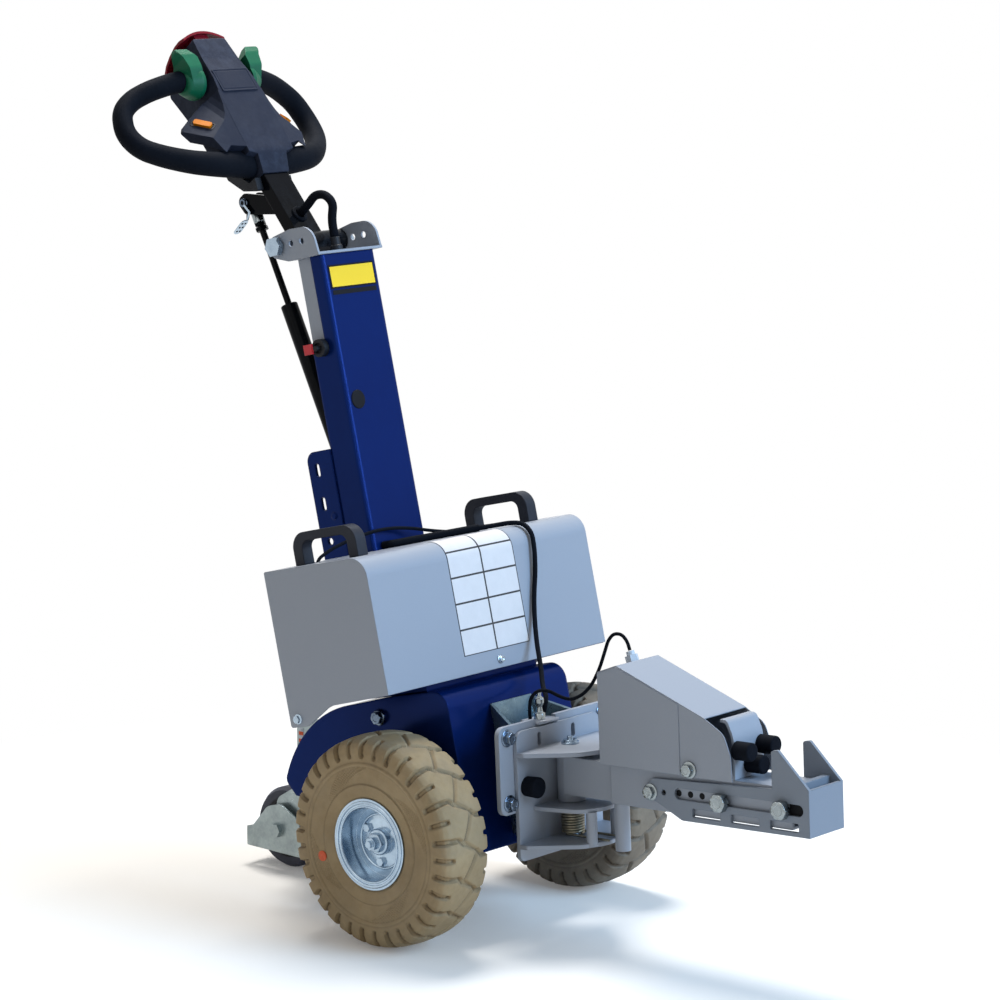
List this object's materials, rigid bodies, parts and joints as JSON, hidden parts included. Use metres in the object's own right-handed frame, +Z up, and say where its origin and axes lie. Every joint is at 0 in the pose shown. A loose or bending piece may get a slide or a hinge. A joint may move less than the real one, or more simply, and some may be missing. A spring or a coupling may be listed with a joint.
{
  "type": "electric tow tug",
  "caption": "Pedestrian battery tow tug: two driven wheels, rear caster, box over the battery, column with a tilting tiller head, and a swivelling hitch arm with a clamping hook",
  "frame": {"origin": "on the floor, under the middle of the machine's overall box", "axes": "+X forward to the hitch, +Y to the machine's left, +Z up"},
  "size_m": [1.2166, 0.506, 1.2631],
  "materials": {
    "tyre_tan": "moulded non-marking rubber",
    "zinc": "zinc plated",
    "blue_paint": "satin",
    "silver_paint": "satin",
    "slate_plastic": "fine grain",
    "black_plastic": "fine grain",
    "black_rubber": "matt",
    "green_plastic": "satin",
    "orange_plastic": "gloss",
    "red_plastic": "gloss",
    "black_paint": "satin",
    "dark_grey_plastic": "satin",
    "caster_rubber": "smooth",
    "battery": "matt"
  },
  "bodies": {
    "machine": {"drive_axle": "black_paint", "chassis_shell": "blue_paint", "battery_block": "battery", "cover_box": "silver_paint", "battery_tray": "blue_paint", "right_lift_handle": "dark_grey_plastic", "left_lift_handle": "dark_grey_plastic", "column_cover": "blue_paint", "column_core": "silver_paint", "spring_flanges": "blue_paint", "column_bracket": "silver_paint", "tiller_pivot_bolt": "zinc", "key_switch": "black_plastic", "key": "red_plastic", "conduit_gland": "black_plastic", "caster_plate": "zinc", "wedge_bracket": "zinc", "hitch_back_plate": "zinc", "hitch_frame": "silver_paint", "swivel_pin": "zinc", "centring_spring": "zinc", "hitch_bumpers": "black_rubber", "lead_clamp": "zinc", "lead_sheath": "black_rubber", "box_lead": "black_rubber", "side_lead": "black_rubber"},
    "right_wheel": {"right_tyre": "tyre_tan", "right_rim": "zinc"},
    "left_wheel": {"left_tyre": "tyre_tan", "left_rim": "zinc"},
    "caster": {"caster_fork": "zinc"},
    "caster_wheel": {"caster_tyre": "caster_rubber", "caster_hub": "black_plastic"},
    "tiller": {"tiller_pole": "black_paint", "tiller_head": "slate_plastic", "head_rear_cover": "black_plastic", "right_grip": "black_rubber", "left_grip": "black_rubber", "throttles": "green_plastic", "reverse_button": "red_plastic", "horn_buttons": "orange_plastic", "release_lever": "zinc", "tiller_conduit": "black_rubber"},
    "gas_cylinder": {"gas_cylinder": "black_paint"},
    "gas_rod": {"gas_rod": "black_paint"},
    "hitch": {"hitch_arm": "silver_paint", "hook": "silver_paint", "hook_bolts": "zinc", "hitch_cover": "silver_paint", "cover_gland": "silver_paint", "hitch_lead": "black_rubber"},
    "clamp": {"clamp_slider": "silver_paint", "clamp_buffers": "black_rubber"}
  },
  "joints": [
    {"name": "right_wheel_spin", "type": "hinge", "parent": "machine", "child": "right_wheel", "pos_m": [0.0015, -0.205, 0.1525], "axis": [0, 1, 0], "continuous": true},
    {"name": "left_wheel_spin", "type": "hinge", "parent": "machine", "child": "left_wheel", "pos_m": [0.0015, 0.205, 0.1525], "axis": [0, 1, 0], "continuous": true},
    {"name": "caster_swivel", "type": "hinge", "parent": "machine", "child": "caster", "pos_m": [-0.3205, 0, 0.14], "axis": [0, 0, 1], "continuous": true},
    {"name": "caster_wheel_spin", "type": "hinge", "parent": "caster", "child": "caster_wheel", "pos_m": [-0.3865, 0, 0.0625], "axis": [0, 1, 0], "continuous": true},
    {"name": "tiller_tilt", "type": "hinge", "parent": "machine", "child": "tiller", "pos_m": [-0.34374, 0, 0.95698], "axis": [0, 1, 0], "range_deg": [-45, 0], "deforming": ["tiller_conduit"]},
    {"name": "gas_cylinder_swing", "type": "hinge", "parent": "machine", "child": "gas_cylinder", "pos_m": [-0.24245, 0, 0.56685], "axis": [0, 1, 0], "range_deg": [-7.7, 0]},
    {"name": "gas_rod_slide", "type": "slide", "parent": "gas_cylinder", "child": "gas_rod", "axis": [-0.4434, 0, 0.8963], "range_m": [-0.0835, 0]},
    {"name": "hitch_swivel", "type": "hinge", "parent": "machine", "child": "hitch", "pos_m": [0.16243, 0, 0.2311], "axis": [-0.0523, 0, 0.9986], "range_deg": [-50, 50], "stiffness_Nm_per_rad": 12, "deforming": ["hitch_lead"]},
    {"name": "clamp_slide", "type": "slide", "parent": "hitch", "child": "clamp", "axis": [0.9986, 0, 0.0523], "range_m": [-0.015, 0.032]}
  ],
  "couplings": [
    {"joint": "gas_cylinder_swing", "follows": "tiller_tilt", "ratio": 0.16},
    {"joint": "gas_rod_slide", "follows": "tiller_tilt", "m_per_rad": 0.105}
  ]
}
